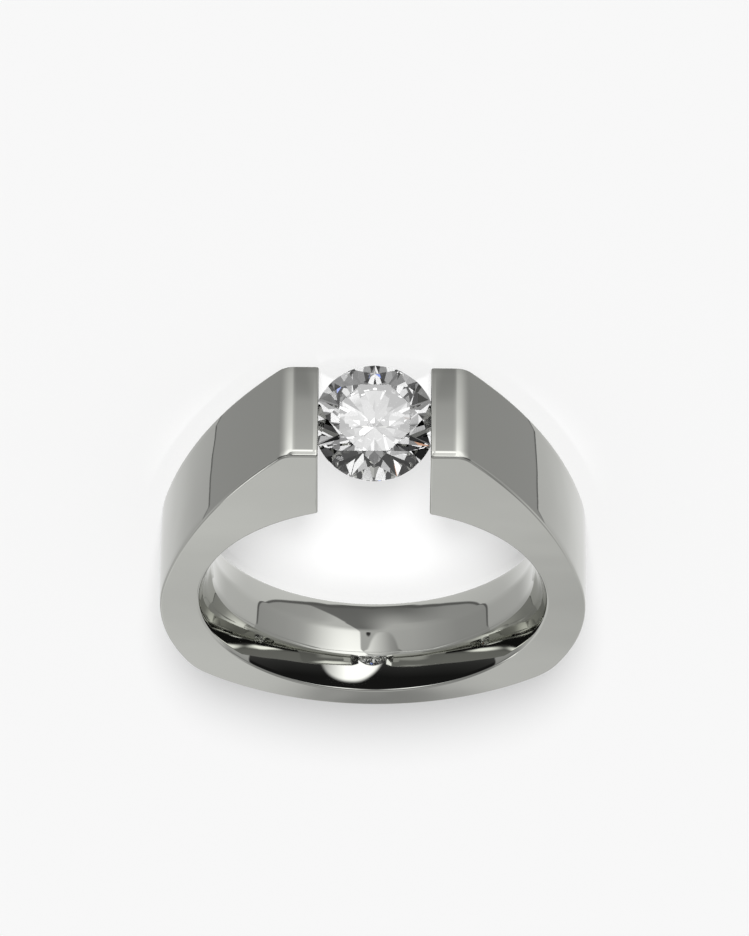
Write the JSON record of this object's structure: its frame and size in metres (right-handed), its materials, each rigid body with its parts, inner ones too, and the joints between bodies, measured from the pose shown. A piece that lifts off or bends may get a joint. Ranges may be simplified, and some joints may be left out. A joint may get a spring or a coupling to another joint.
{
  "type": "tension set ring",
  "caption": "Comfort fit ring with squared lower corners, whose two tall flat topped heads hold a round brilliant by its girdle across an open gap.",
  "frame": {"origin": "centre of the finger hole, in the middle of the band's width", "axes": "the ring lies on its side: +Z runs along the finger, and the stone faces -Y"},
  "size_m": [0.0232, 0.0259, 0.0064],
  "materials": {
    "metal": "polished titanium, warm grey",
    "diamond": "clear, facets polished"
  },
  "bodies": {
    "root": {"band": "metal", "stone": "diamond"}
  },
  "joints": []
}
